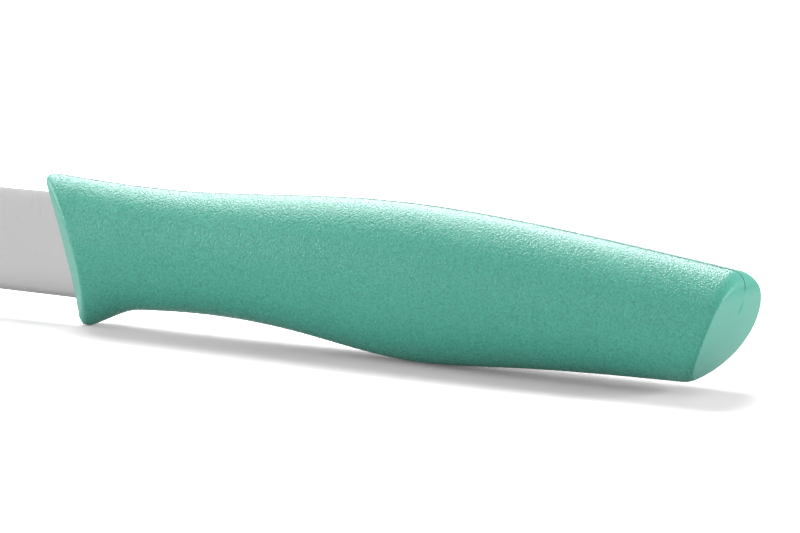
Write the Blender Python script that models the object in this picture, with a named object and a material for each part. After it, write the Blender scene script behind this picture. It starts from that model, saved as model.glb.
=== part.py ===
"""Paring knife: a ground steel blade with a hidden tang, and a handle moulded round the tang in one piece.

Metres, +Z up. The blade points to -X, the spine is up and Y runs across the blade.
The knife stands on its edge side, on the tip of the guard and on the belly of the handle.
While it is modelled, X is measured from the foot of the handle's front and Z from the table.
"""
import math

import bmesh
import bpy
import numpy as np
from mathutils import Matrix

# Blade, as it shows in front of the handle
BLADE_LENGTH = 0.085
BLADE_HEIGHT = 0.0147
BLADE_THICKNESS = 0.0013
EDGE_RISE = 0.0035
EDGE_TAPER = 0.0006
TIP_RISE = 0.0045
TIP_LAND = 0.0003
SPINE_CURVE_LENGTH = 0.050
SPINE_CURVE_POWER = 2.1
EDGE_CURVE_LENGTH = 0.032
EDGE_CURVE_POWER = 2.3

# Grinding, as half thicknesses and as heights over the edge
GRIND_HEIGHT = 0.0034
GRIND_HALF = 0.00042
BEVEL_HEIGHT = 0.00045
BEVEL_HALF = 0.00016
EDGE_HALF = 0.00002
PLUNGE_LENGTH = 0.002
FRONT_GAP = 0.0003

# Tang
SHOULDER_AT = 0.0015
SHOULDER_LENGTH = 0.004
TANG_END = 0.068
TANG_HEIGHT = 0.009
TANG_RISE = 0.0072
TANG_CLEARANCE = 0.0003
LOCK_HOLE_DIAMETER = 0.005
LOCK_HOLES_AT = (0.022, 0.054)

# Handle, side view: the top line
NOSE_HEIGHT = 0.0209
WAIST_AT = 0.0155
WAIST_HEIGHT = 0.0198
CROWN_AT = 0.0455
CROWN_HEIGHT = 0.0211
SLOPE_AT = 0.0755
SLOPE_HEIGHT = 0.01925
BUTT_HEIGHT = 0.0161
HANDLE_LENGTH = 0.1008

# Handle, side view: the underside, with the guard's hook below it
GUARD_BASE = 0.0021
GUARD_DROP = 0.0026
GUARD_LENGTH = 0.0104
FINGER_AT = 0.0185
FINGER_RISE = 0.00325
SWEEP_AT = 0.0345
SWEEP_RISE = 0.00235
BELLY_AT = 0.0525
BELLY_RISE = 0.00012
PALM_AT = 0.0665
PALM_RISE = 0.00065
HEEL_INSET = 0.0063
HEEL_RISE = 0.00145

# Handle, top view: half widths
FRONT_HALF_WIDTH = 0.0056
WAIST_HALF_WIDTH = 0.0057
BELLY_HALF_WIDTH = 0.0075
PALM_HALF_WIDTH = 0.0078
BUTT_HALF_WIDTH = 0.0073
SECTION_FULLNESS = 1.95

# Front of the handle: a narrow land round the blade between two swept facets
FRONT_LEAN = 0.305
FRONT_SWEEP = 1.15
LAND_HALF_WIDTH = 0.0012
FRONT_EDGE_ROUND = 0.0003
NOSE_ROUND = 0.0013
GUARD_ROUND = 0.0012

# Butt: a nose that is round in both directions
BUTT_PEAK_HEIGHT = 0.0150
BUTT_PROFILE_RADIUS = 0.0165
BUTT_CROSS_RADIUS = 0.034
BUTT_EDGE_ROUND = 0.0009
BUTT_TOP_ROUND = 0.0016

# Fineness of the meshes
RING_POINTS = 56
SIDE_RINGS = 46
ROUND_STEPS = 3
BUTT_COLUMNS = 8
BLADE_STATIONS = 44
TANG_STEPS = 6
HOLE_SIDES = 32
SMOOTH_ANGLE = math.radians(30)

# Colours, as linear RGB
STEEL_COLOUR = (0.62, 0.62, 0.63, 1.0)
PLASTIC_COLOUR = (0.13, 0.46, 0.36, 1.0)


def spline_through(points):
    """Natural cubic spline through (x, value) points, carried on straight past both ends."""
    xs, values = (np.array(column) for column in zip(*points))
    steps = np.diff(xs)
    slopes = np.diff(values) / steps
    count = len(xs)
    system = np.eye(count)
    right = np.zeros(count)
    for i in range(1, count - 1):
        system[i, i - 1:i + 2] = steps[i - 1], 2 * (steps[i - 1] + steps[i]), steps[i]
        right[i] = 6 * (slopes[i] - slopes[i - 1])
    bends = np.linalg.solve(system, right)
    first_slope = slopes[0] - steps[0] * bends[1] / 6
    last_slope = slopes[-1] + steps[-1] * bends[-2] / 6

    def value(x):
        x = np.asarray(x, dtype=float)
        i = np.clip(np.searchsorted(xs, x) - 1, 0, count - 2)
        run = np.clip(x, xs[0], xs[-1]) - xs[i]
        cubic = (bends[i + 1] - bends[i]) / (6 * steps[i])
        linear = slopes[i] - steps[i] * (2 * bends[i] + bends[i + 1]) / 6
        inside = values[i] + run * (linear + run * (bends[i] / 2 + run * cubic))
        return inside + first_slope * np.minimum(0, x - xs[0]) + last_slope * np.maximum(0, x - xs[-1])

    return value


# The front leans, so the top line starts ahead of the front's foot
top_line = spline_through((
    (-FRONT_LEAN * NOSE_HEIGHT, NOSE_HEIGHT),
    (WAIST_AT, WAIST_HEIGHT),
    (CROWN_AT, CROWN_HEIGHT),
    (SLOPE_AT, SLOPE_HEIGHT),
    (HANDLE_LENGTH, BUTT_HEIGHT),
))
underside = spline_through((
    (0.0, GUARD_BASE),
    (FINGER_AT, FINGER_RISE),
    (SWEEP_AT, SWEEP_RISE),
    (BELLY_AT, BELLY_RISE),
    (PALM_AT, PALM_RISE),
    (HANDLE_LENGTH - HEEL_INSET, HEEL_RISE),
))
half_width = spline_through((
    (0.0, FRONT_HALF_WIDTH),
    (WAIST_AT, WAIST_HALF_WIDTH),
    (BELLY_AT, BELLY_HALF_WIDTH),
    (SLOPE_AT, PALM_HALF_WIDTH),
    (HANDLE_LENGTH, BUTT_HALF_WIDTH),
))


def bottom_line(x):
    """Height of the underside: its spline, less the hook of the guard near the front."""
    return underside(x) - GUARD_DROP * np.clip(1 - x / GUARD_LENGTH, 0, None) ** 2


def section(x, angle):
    """Y and Z on the handle's oval at the places x and the angles round it, with its half sizes."""
    top, bottom = top_line(x), bottom_line(x)
    across, tall = half_width(x), (top - bottom) / 2
    power = 2 / SECTION_FULLNESS
    y = across * np.sign(np.cos(angle)) * np.abs(np.cos(angle)) ** power
    z = (top + bottom) / 2 + tall * np.sign(np.sin(angle)) * np.abs(np.sin(angle)) ** power
    return y, z, across, tall


def front_face(y, z):
    """X of the handle's front: a leaning land with a facet swept back on each side of it."""
    return -FRONT_LEAN * z + FRONT_SWEEP * np.maximum(0, np.abs(y) - LAND_HALF_WIDTH)


def butt_face(y, z):
    """X of the handle's butt."""
    rise = np.minimum(np.abs(z - BUTT_PEAK_HEIGHT), 0.99 * BUTT_PROFILE_RADIUS)
    drop = BUTT_PROFILE_RADIUS - np.sqrt(BUTT_PROFILE_RADIUS ** 2 - rise ** 2)
    return HANDLE_LENGTH - drop - y ** 2 / (2 * BUTT_CROSS_RADIUS)


def side_ring(angle, share, front_inset, butt_inset):
    """Ring of points on the handle's side, a share of the way from its front edge to its butt edge."""
    x = np.full_like(angle, share * HANDLE_LENGTH)
    for _ in range(60):
        y, z, _, _ = section(x, angle)
        start = front_face(y, z) + front_inset
        end = butt_face(y, z) - butt_inset
        x = (x + start + share * (end - start)) / 2
    return np.stack([x, *section(x, angle)[:2]], axis=1)


def rounded_edge(angle, share, face, rounds):
    """Rings that round the edge between the side and an end face, from the side to the face."""
    flat = np.zeros_like(angle)
    corner = side_ring(angle, share, flat, flat)
    side = side_ring(angle, share, rounds, rounds)
    _, _, across, tall = section(corner[:, 0], angle)
    inward = -np.stack([np.cos(angle) / across, np.sin(angle) / tall], axis=1)
    inward /= np.linalg.norm(inward, axis=1, keepdims=True)
    y, z = (corner[:, 1:] + rounds[:, None] * inward).T
    on_face = np.stack([face(y, z), y, z], axis=1)
    steps = np.linspace(0, 1, ROUND_STEPS + 1)
    return [(1 - s) ** 2 * side + 2 * s * (1 - s) * corner + s ** 2 * on_face for s in steps]


def edge_rounds(angle, side, top, bottom):
    """Rounding of an end's edge at each angle: one value at the sides, others at the top and the bottom."""
    upper = np.clip(np.sin(angle), 0, 1) ** 4
    lower = np.clip(-np.sin(angle), 0, 1) ** 4
    return side + (top - side) * upper + (bottom - side) * lower


def bridge(bm, first, second):
    """Faces between two closed rings of vertices."""
    count = len(first)
    for i in range(count):
        j = (i + 1) % count
        bm.faces.new((first[i], first[j], second[j], second[i]))


def cap_with_rows(bm, ring, face, columns):
    """Closes a ring that starts at its top, with rows across Y whose inner points lie on the end face."""
    half = len(ring) // 2
    rows = []
    for i in range(1, half):
        left, right = ring[i], ring[-i]
        inner = [bm.verts.new((face(y, left.co.z), y, left.co.z)) for y in columns(left.co.y, right.co.y)]
        rows.append([left, *inner, right])
    for upper, lower in zip(rows, rows[1:]):
        for k in range(len(upper) - 1):
            bm.faces.new((upper[k], upper[k + 1], lower[k + 1], lower[k]))
    for pole, row in ((ring[0], rows[0]), (ring[half], rows[-1])):
        for k in range(len(row) - 1):
            bm.faces.new((pole, row[k], row[k + 1]))


def land_columns(left, right):
    """Y of the two lines where the front's land meets its facets, drawn in where the oval is narrower."""
    reach = min(LAND_HALF_WIDTH, abs(right - left) / 4)
    return math.copysign(reach, left), math.copysign(reach, right)


def even_columns(left, right):
    """Y of evenly spread columns between the two sides."""
    return np.linspace(left, right, BUTT_COLUMNS + 1)[1:-1]


def finish_mesh(bm, name):
    """Object of the given name from a closed bmesh, smooth but for its real edges."""
    bmesh.ops.recalc_face_normals(bm, faces=bm.faces)
    mesh = bpy.data.meshes.new(name)
    bm.to_mesh(mesh)
    bm.free()
    mesh.shade_smooth()
    mesh.set_sharp_from_angle(angle=SMOOTH_ANGLE)
    made = bpy.data.objects.new(name, mesh)
    bpy.context.scene.collection.objects.link(made)
    return made


def build_handle_body():
    """The handle's outside, as one closed loft from its front to its butt."""
    angle = math.pi / 2 + 2 * math.pi * np.arange(RING_POINTS) / RING_POINTS
    front = edge_rounds(angle, FRONT_EDGE_ROUND, NOSE_ROUND, GUARD_ROUND)
    butt = edge_rounds(angle, BUTT_EDGE_ROUND, BUTT_TOP_ROUND, BUTT_EDGE_ROUND)
    # Rings lie closer together towards the guard, where the underside turns most
    shares = (np.arange(1, SIDE_RINGS) / SIDE_RINGS) ** 1.3
    rings = rounded_edge(angle, 0.0, front_face, front)[::-1]
    rings += [side_ring(angle, share, front, butt) for share in shares]
    rings += rounded_edge(angle, 1.0, butt_face, butt)

    bm = bmesh.new()
    loops = [[bm.verts.new(point) for point in ring] for ring in rings]
    for first, second in zip(loops, loops[1:]):
        bridge(bm, first, second)
    cap_with_rows(bm, loops[0], front_face, land_columns)
    cap_with_rows(bm, loops[-1], butt_face, even_columns)
    return finish_mesh(bm, "handle")


def tang_outline(grow):
    """(x, bottom, top) from the shoulder to the round end of the tang, with every edge moved out by grow."""
    low, high = EDGE_RISE - grow, EDGE_RISE + BLADE_HEIGHT + grow
    radius = TANG_HEIGHT / 2 + grow
    middle = TANG_RISE + TANG_HEIGHT / 2
    stations = []
    for step in range(TANG_STEPS + 1):
        share = step / TANG_STEPS
        ease = share ** 2 * (3 - 2 * share)
        x = SHOULDER_AT + grow + share * SHOULDER_LENGTH
        stations.append((x, low + ease * (middle - radius - low), high + ease * (middle + radius - high)))
    for step in range(TANG_STEPS + 1):
        turn = math.radians(80) * step / TANG_STEPS
        x = TANG_END + grow - radius * (1 - math.sin(turn))
        stations.append((x, middle - radius * math.cos(turn), middle + radius * math.cos(turn)))
    return stations


def ground_half(rise, z):
    """Half thickness of the ground blade at a rise over its edge and a height over the table."""
    flat_slope = (BLADE_THICKNESS / 2 - GRIND_HALF) / (BLADE_HEIGHT - GRIND_HEIGHT)
    flat = GRIND_HALF + flat_slope * (z - EDGE_RISE - GRIND_HEIGHT)
    if rise >= GRIND_HEIGHT:
        return flat
    if rise <= BEVEL_HEIGHT:
        return EDGE_HALF + (BEVEL_HALF - EDGE_HALF) * rise / BEVEL_HEIGHT
    # Between the flat and the cutting bevel the side is rounded, and it meets the flat without an edge
    thinning = GRIND_HALF - flat_slope * (GRIND_HEIGHT - BEVEL_HEIGHT) - BEVEL_HALF
    return flat - thinning * ((GRIND_HEIGHT - rise) / (GRIND_HEIGHT - BEVEL_HEIGHT)) ** 2


def blade_section(spine, edge, x_at, half_at):
    """Closed section of the blade: up its left side from the edge to the spine and down its right."""
    height = spine - edge
    middle_rise = (GRIND_HEIGHT + BEVEL_HEIGHT) / 2
    # Near the tip the blade is lower than its bevels are high, so they share what height there is
    rises = [0.0]
    for rise, most in ((BEVEL_HEIGHT, 0.2), (middle_rise, 0.4), (GRIND_HEIGHT, 0.6)):
        rises.append(min(rise, most * height))
    rises.append(height)
    left = [(x_at(edge + rise), -half_at(rise, edge + rise), edge + rise) for rise in rises]
    right = [(x, -y, z) for x, y, z in reversed(left)]
    return left + right


def build_blade_blank():
    """The blade and its tang, as one closed loft from the tip to the end of the tang."""
    spine_height = EDGE_RISE + BLADE_HEIGHT
    root = -FRONT_LEAN * spine_height - FRONT_GAP
    tip = root - BLADE_LENGTH + FRONT_GAP
    tip_height = EDGE_RISE + TIP_RISE
    sections = []
    for station in range(BLADE_STATIONS + 1):
        share = (station / BLADE_STATIONS) ** 1.5
        before_spine_curve = (1 - share) * BLADE_LENGTH - (BLADE_LENGTH - SPINE_CURVE_LENGTH)
        before_edge_curve = (1 - share) * BLADE_LENGTH - (BLADE_LENGTH - EDGE_CURVE_LENGTH)
        fall = max(0.0, before_spine_curve / SPINE_CURVE_LENGTH) ** SPINE_CURVE_POWER
        lift = max(0.0, before_edge_curve / EDGE_CURVE_LENGTH) ** EDGE_CURVE_POWER
        taper = EDGE_TAPER * (1 - share)
        spine = spine_height - fall * (spine_height - tip_height - TIP_LAND / 2)
        edge = EDGE_RISE + taper + lift * (TIP_RISE - EDGE_TAPER - TIP_LAND / 2)

        def x_at(z, share=share):
            return tip + share * (-FRONT_LEAN * z - FRONT_GAP - tip)

        sections.append(blade_section(spine, edge, x_at, ground_half))

    # Inside the handle the grinding runs out to the full sheet
    def full_half(rise, z):
        return BLADE_THICKNESS / 2

    def plunge_x(z):
        return PLUNGE_LENGTH - FRONT_LEAN * z

    sections.append(blade_section(spine_height, EDGE_RISE, plunge_x, full_half))
    for x, low, high in tang_outline(0.0):
        sections.append(blade_section(high, low, lambda z, x=x: x, full_half))

    bm = bmesh.new()
    loops = [[bm.verts.new(point) for point in ring] for ring in sections]
    for first, second in zip(loops, loops[1:]):
        bridge(bm, first, second)
    bm.faces.new(loops[0])
    bm.faces.new(loops[-1])
    return finish_mesh(bm, "blade")


def build_slot_cutter():
    """The space for the tang in the handle, open at the front."""
    half = BLADE_THICKNESS / 2 + TANG_CLEARANCE
    outline = tang_outline(TANG_CLEARANCE)
    _, low, high = outline[0]
    outside = -FRONT_LEAN * NOSE_HEIGHT - PLUNGE_LENGTH
    bm = bmesh.new()
    loops = []
    for x, bottom, top in [(outside, low, high), *outline]:
        corners = ((x, -half, bottom), (x, -half, top), (x, half, top), (x, half, bottom))
        loops.append([bm.verts.new(corner) for corner in corners])
    for first, second in zip(loops, loops[1:]):
        bridge(bm, first, second)
    bm.faces.new(loops[0])
    bm.faces.new(loops[-1])
    return hide_cutter(finish_mesh(bm, "tang_slot_cutter"))


def build_cross_pins(name, diameter, length):
    """Round pins across the tang, one at each lock hole, as one cutter."""
    bm = bmesh.new()
    height = TANG_RISE + TANG_HEIGHT / 2
    across = Matrix.Rotation(math.pi / 2, 4, "X")
    for x in LOCK_HOLES_AT:
        bmesh.ops.create_cone(
            bm, cap_ends=True, segments=HOLE_SIDES, radius1=diameter / 2, radius2=diameter / 2, depth=length,
            matrix=Matrix.Translation((x, 0.0, height)) @ across)
    return hide_cutter(finish_mesh(bm, name))


def hide_cutter(cutter):
    """Marks an object as a tool of the Booleans, not a piece of the knife."""
    cutter.hide_render = True
    cutter.display_type = "WIRE"
    return cutter


def combine(target, tool, operation):
    """Adds a Boolean of the given kind to the target."""
    modifier = target.modifiers.new(tool.name, "BOOLEAN")
    modifier.operation = operation
    modifier.solver = "EXACT"
    modifier.object = tool


def principled(name, colour, metallic, roughness):
    """Material with one Principled BSDF."""
    made = bpy.data.materials.new(name)
    made.use_nodes = True
    shader = made.node_tree.nodes["Principled BSDF"]
    shader.inputs["Base Color"].default_value = colour
    shader.inputs["Metallic"].default_value = metallic
    shader.inputs["Roughness"].default_value = roughness
    made.diffuse_color = colour
    return made


def main():
    for old in list(bpy.data.objects):
        bpy.data.objects.remove(old, do_unlink=True)

    steel = principled("stainless_steel", STEEL_COLOUR, 1.0, 0.32)
    plastic = principled("polypropylene", PLASTIC_COLOUR, 0.0, 0.42)

    blade = build_blade_blank()
    blade.data.materials.append(steel)
    handle = build_handle_body()
    handle.data.materials.append(plastic)

    # The plastic fills the lock holes, so a peg crosses the slot at each of them
    past_slot = BLADE_THICKNESS + 2 * TANG_CLEARANCE + LAND_HALF_WIDTH
    holes = build_cross_pins("lock_hole_cutter", LOCK_HOLE_DIAMETER, 2 * BLADE_THICKNESS)
    pegs = build_cross_pins("lock_peg_tool", LOCK_HOLE_DIAMETER - 2 * TANG_CLEARANCE, past_slot)
    slot = build_slot_cutter()
    combine(blade, holes, "DIFFERENCE")
    combine(handle, slot, "DIFFERENCE")
    combine(handle, pegs, "UNION")

    # The origin is on the table, midway between the tip of the blade and the butt
    rest = min(vertex.co.z for vertex in handle.data.vertices)
    rear = max(vertex.co.x for vertex in handle.data.vertices)
    tip = min(vertex.co.x for vertex in blade.data.vertices)
    knife = bpy.data.objects.new("knife", None)
    knife.location = (-(tip + rear) / 2, 0.0, -rest)
    bpy.context.scene.collection.objects.link(knife)
    for piece in (blade, handle, holes, pegs, slot):
        piece.parent = knife


main()
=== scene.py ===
"""Looks of a paring knife: a satin ground steel blade moulded into a grained mint green plastic handle.

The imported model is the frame. While a piece is shaped, X is measured from the foot of the handle's front
and Z from the table, as in the frame's own making. Each piece is then moved into the frame's place in its
mesh.
All lengths are in metres.
"""
import logging
import math
from dataclasses import dataclass, field
from enum import Enum
from functools import cached_property
from typing import Callable, Iterable, Sequence, Union

import bmesh
import bpy
import numpy as np
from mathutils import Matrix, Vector


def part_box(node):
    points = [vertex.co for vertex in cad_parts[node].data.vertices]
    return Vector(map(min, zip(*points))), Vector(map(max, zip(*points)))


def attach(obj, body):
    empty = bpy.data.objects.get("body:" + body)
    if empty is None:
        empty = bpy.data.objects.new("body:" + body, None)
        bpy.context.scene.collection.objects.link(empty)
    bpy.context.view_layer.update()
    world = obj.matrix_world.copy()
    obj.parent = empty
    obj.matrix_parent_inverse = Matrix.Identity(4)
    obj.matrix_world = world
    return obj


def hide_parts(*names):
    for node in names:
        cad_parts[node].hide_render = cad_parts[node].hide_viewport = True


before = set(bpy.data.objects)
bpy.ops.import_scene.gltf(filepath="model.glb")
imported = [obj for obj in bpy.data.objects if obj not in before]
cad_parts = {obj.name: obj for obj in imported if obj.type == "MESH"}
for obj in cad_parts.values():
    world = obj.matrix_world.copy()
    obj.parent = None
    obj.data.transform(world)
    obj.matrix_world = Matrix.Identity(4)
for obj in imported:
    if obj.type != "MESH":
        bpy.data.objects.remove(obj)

LOG = logging.getLogger("paring_knife")
BODY = "root"
WHITE = (1.0, 1.0, 1.0, 1.0)

# Points closer than the first are one point, and an edge shorter than the second is none
MERGE_DISTANCE = 1e-7
SHORTEST_EDGE = 1e-8

Colour = tuple[float, float, float]
Amount = Union["Field", float]


class Node(Enum):
    """The frame's nodes that the pieces stand for."""

    BLADE = "blade"
    HANDLE = "handle"


class Slot(Enum):
    """The record's material slots."""

    STEEL = "blade_steel"
    PLASTIC = "handle_plastic"


class TreeKind(Enum):
    """The kinds of node tree that a builder can make."""

    GEOMETRY = "GeometryNodeTree"
    SHADER = "ShaderNodeTree"


class SocketKind(Enum):
    """The kinds of named socket on a node tree."""

    VALUE = "NodeSocketFloat"
    COUNT = "NodeSocketInt"
    GEOMETRY = "NodeSocketGeometry"
    MATERIAL = "NodeSocketMaterial"


# ---------------------------------------------------------------- node trees


@dataclass(frozen=True)
class Field:
    """A number in a node tree that varies over the surface, with the arithmetic that makes its nodes."""

    tree: bpy.types.NodeTree
    socket: bpy.types.NodeSocket

    def _math(self, operation: str, *others: Amount) -> "Field":
        """Adds a Math node.

        Args:
            operation: The Math node's operation.
            others: Its second and third values.

        Returns:
            The node's result.
        """
        node = self.tree.nodes.new("ShaderNodeMath")
        node.operation = operation
        for place, value in enumerate((self, *others)):
            if isinstance(value, Field):
                self.tree.links.new(value.socket, node.inputs[place])
            else:
                node.inputs[place].default_value = value
        return Field(self.tree, node.outputs[0])

    def __add__(self, other: Amount) -> "Field":
        """Sum."""
        return self._math("ADD", other)

    def __sub__(self, other: Amount) -> "Field":
        """Difference."""
        return self._math("SUBTRACT", other)

    def __mul__(self, other: Amount) -> "Field":
        """Product."""
        return self._math("MULTIPLY", other)

    def __truediv__(self, other: Amount) -> "Field":
        """Quotient."""
        return self._math("DIVIDE", other)

    def __pow__(self, other: Amount) -> "Field":
        """Power."""
        return self._math("POWER", other)

    def __radd__(self, other: float) -> "Field":
        """Sum with a plain number in front."""
        return self._math("ADD", other)

    def __rsub__(self, other: float) -> "Field":
        """A plain number less this value."""
        return self._math("MULTIPLY_ADD", -1.0, other)

    def __rtruediv__(self, other: float) -> "Field":
        """A plain number divided by this value."""
        return self._math("POWER", -1.0) * other

    def at_least(self, floor: Amount) -> "Field":
        """The larger of this value and another."""
        return self._math("MAXIMUM", floor)

    def at_most(self, ceiling: Amount) -> "Field":
        """The smaller of this value and another."""
        return self._math("MINIMUM", ceiling)

    def clamped(self) -> "Field":
        """This value, kept between 0 and 1."""
        return self.at_least(0.0).at_most(1.0)

    def below(self, limit: Amount) -> "Field":
        """1 where this value is less than the limit, else 0."""
        return self._math("LESS_THAN", limit)

    def rounded(self) -> "Field":
        """The nearest whole number."""
        return self._math("ROUND")

    def sine(self) -> "Field":
        """Sine of an angle in radians."""
        return self._math("SINE")

    def cosine(self) -> "Field":
        """Cosine of an angle in radians."""
        return self._math("COSINE")

    def choose(self, where_one: Amount, where_zero: Amount) -> "Field":
        """One value where this mask is 1, and another where it is 0.

        Args:
            where_one: The value where the mask is 1.
            where_zero: The value where it is 0.

        Returns:
            The value, and a mixture where the mask is between 0 and 1.
        """
        return self * where_one + (1.0 - self) * where_zero


@dataclass
class TreeBuilder:
    """A node tree with named inputs and outputs, and short ways to add nodes to it."""

    tree: bpy.types.NodeTree
    group_input: bpy.types.Node | None = None
    group_output: bpy.types.Node | None = None

    @classmethod
    def group(cls, name: str, kind: TreeKind) -> "TreeBuilder":
        """A new node group with its input and output nodes.

        Args:
            name: The group's name.
            kind: A geometry or a shader group.

        Returns:
            The builder of the empty group.
        """
        tree = bpy.data.node_groups.new(name, kind.value)
        if kind is TreeKind.GEOMETRY:
            tree.is_modifier = True
        return cls(tree, tree.nodes.new("NodeGroupInput"), tree.nodes.new("NodeGroupOutput"))

    def takes(self, name: str, kind: SocketKind, value: Union[float, int, Colour, None] = None) -> Field:
        """Adds a named input.

        Args:
            name: The input's name.
            kind: Its kind.
            value: Its first value.

        Returns:
            The input as a field.
        """
        socket = self.tree.interface.new_socket(name=name, in_out="INPUT", socket_type=kind.value)
        if value is not None:
            socket.default_value = value
        return Field(self.tree, self.group_input.outputs[name])

    def gives(self, name: str, kind: SocketKind, value: Union[Field, bpy.types.NodeSocket]) -> None:
        """Adds a named output and feeds it.

        Args:
            name: The output's name.
            kind: Its kind.
            value: What it puts out.
        """
        self.tree.interface.new_socket(name=name, in_out="OUTPUT", socket_type=kind.value)
        socket = value.socket if isinstance(value, Field) else value
        self.tree.links.new(socket, self.group_output.inputs[name])

    def add(self, kind: str, inputs: dict[str, object] | None = None, **properties: object) -> bpy.types.Node:
        """Adds a node.

        Args:
            kind: The node's type.
            inputs: What goes into its named sockets: fields, sockets or plain values.
            properties: Settings of the node itself.

        Returns:
            The node.
        """
        node = self.tree.nodes.new(kind)
        for name, value in properties.items():
            setattr(node, name, value)
        self.feed(node, inputs or {})
        return node

    def feed(self, node: bpy.types.Node, inputs: dict[str, object]) -> None:
        """Sets or links a node's named inputs.

        Args:
            node: The node.
            inputs: What goes into its sockets: fields and sockets are linked, plain values are set.
        """
        for name, value in inputs.items():
            socket = next(entry for entry in node.inputs if entry.name == name and entry.enabled)
            if isinstance(value, Field):
                value = value.socket
            if isinstance(value, bpy.types.NodeSocket):
                self.tree.links.new(value, socket)
            else:
                socket.default_value = value

    def own_place(self) -> bpy.types.NodeSocket:
        """Place on the piece in its own coordinates."""
        return self.add("ShaderNodeTexCoord").outputs["Object"]

    def noise(self, place: bpy.types.NodeSocket, scale: float, detail: float,
              roughness: float = 0.5) -> Field:
        """Noise over a surface.

        Args:
            place: Where it is read.
            scale: How fine it is.
            detail: Number of finer layers in it.
            roughness: Strength of the finer layers.

        Returns:
            The noise, from 0 to 1.
        """
        inputs = {"Vector": place, "Scale": scale, "Detail": detail, "Roughness": roughness}
        return self.number(self.add("ShaderNodeTexNoise", inputs), "Fac")

    def split(self, vector: bpy.types.NodeSocket) -> tuple[Field, Field, Field]:
        """The three parts of a vector."""
        node = self.add("ShaderNodeSeparateXYZ", {"Vector": vector})
        return tuple(Field(self.tree, socket) for socket in node.outputs)

    def join(self, x: Amount, y: Amount, z: Amount) -> bpy.types.NodeSocket:
        """A vector of three parts."""
        return self.add("ShaderNodeCombineXYZ", {"X": x, "Y": y, "Z": z}).outputs["Vector"]

    def scaled(self, vector: bpy.types.NodeSocket | Colour, factor: Amount) -> bpy.types.NodeSocket:
        """A vector or a colour times a factor.

        Args:
            vector: The vector, or a plain colour.
            factor: The factor.

        Returns:
            The product.
        """
        node = self.add("ShaderNodeVectorMath", {"Scale": factor}, operation="SCALE")
        if isinstance(vector, tuple):
            node.inputs[0].default_value = vector
        else:
            self.tree.links.new(vector, node.inputs[0])
        return node.outputs[0]

    def mixed(self, share: Field, where_zero: bpy.types.NodeSocket | Colour,
              where_one: bpy.types.NodeSocket | Colour) -> bpy.types.NodeSocket:
        """A mixture of two vectors or colours.

        Args:
            share: How much of the second there is, from 0 to 1.
            where_zero: The first.
            where_one: The second.

        Returns:
            The mixture.
        """
        node = self.add("ShaderNodeVectorMath", operation="ADD")
        for place, part in enumerate((self.scaled(where_zero, 1.0 - share), self.scaled(where_one, share))):
            self.tree.links.new(part, node.inputs[place])
        return node.outputs[0]

    def number(self, node: bpy.types.Node, output: str) -> Field:
        """A node's named output as a field."""
        socket = next(entry for entry in node.outputs if entry.name == output and entry.enabled)
        return Field(self.tree, socket)


# ---------------------------------------------------------------- shape of the knife


def signed_power(values: np.ndarray, power: float) -> np.ndarray:
    """Values raised to a power, each with its own sign."""
    return np.sign(values) * np.abs(values) ** power


@dataclass(frozen=True)
class NaturalSpline:
    """Natural cubic spline through its knots, carried on straight past both ends.

    Attributes:
        knots: The points that it goes through, as pairs of x and value.
    """

    knots: tuple[tuple[float, float], ...]

    @cached_property
    def _terms(self) -> tuple[float, float, np.ndarray, np.ndarray]:
        """The spline as a straight line and a cubic that starts at each knot.

        Returns:
            First value, first slope, places of the knots and the cubics' factors.
        """
        xs, values = (np.array(column) for column in zip(*self.knots))
        steps, count = np.diff(xs), len(xs)
        slopes = np.diff(values) / steps
        system, right = np.eye(count), np.zeros(count)
        for i in range(1, count - 1):
            system[i, i - 1:i + 2] = steps[i - 1], 2 * (steps[i - 1] + steps[i]), steps[i]
            right[i] = 6 * (slopes[i] - slopes[i - 1])
        bends = np.linalg.solve(system, right)
        thirds = np.concatenate([[0.0], np.diff(bends) / steps, [0.0]])
        return values[0], slopes[0] - steps[0] * bends[1] / 6, xs, np.diff(thirds) / 6

    def __call__(self, x: np.ndarray) -> np.ndarray:
        """Value of the spline.

        Args:
            x: Where it is read.

        Returns:
            Its values there.
        """
        start, slope, xs, cubics = self._terms
        x = np.asarray(x, dtype=float)
        value = start + slope * (x - xs[0])
        for knot, cubic in zip(xs, cubics):
            value = value + cubic * np.maximum(0.0, x - knot) ** 3
        return value


@dataclass(frozen=True)
class BladeShape:
    """Sizes of the blade."""

    # Outline: the edge's height over the table, and how its last part and the spine's curve to the tip
    length: float = 0.085
    height: float = 0.0147
    thickness: float = 0.0013
    edge_rise: float = 0.0035
    edge_taper: float = 0.0006
    tip_rise: float = 0.0045
    tip_land: float = 0.0003
    spine_curve_length: float = 0.050
    spine_curve_power: float = 2.1
    edge_curve_length: float = 0.032
    edge_curve_power: float = 2.3

    # Grinding: heights over the edge, half thicknesses, and the gap that is left at the handle's front
    grind_height: float = 0.0034
    grind_half: float = 0.00042
    bevel_height: float = 0.00045
    bevel_half: float = 0.00016
    edge_half: float = 0.00002
    front_gap: float = 0.0003

    @property
    def spine_height(self) -> float:
        """Height of the straight spine over the table."""
        return self.edge_rise + self.height


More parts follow.
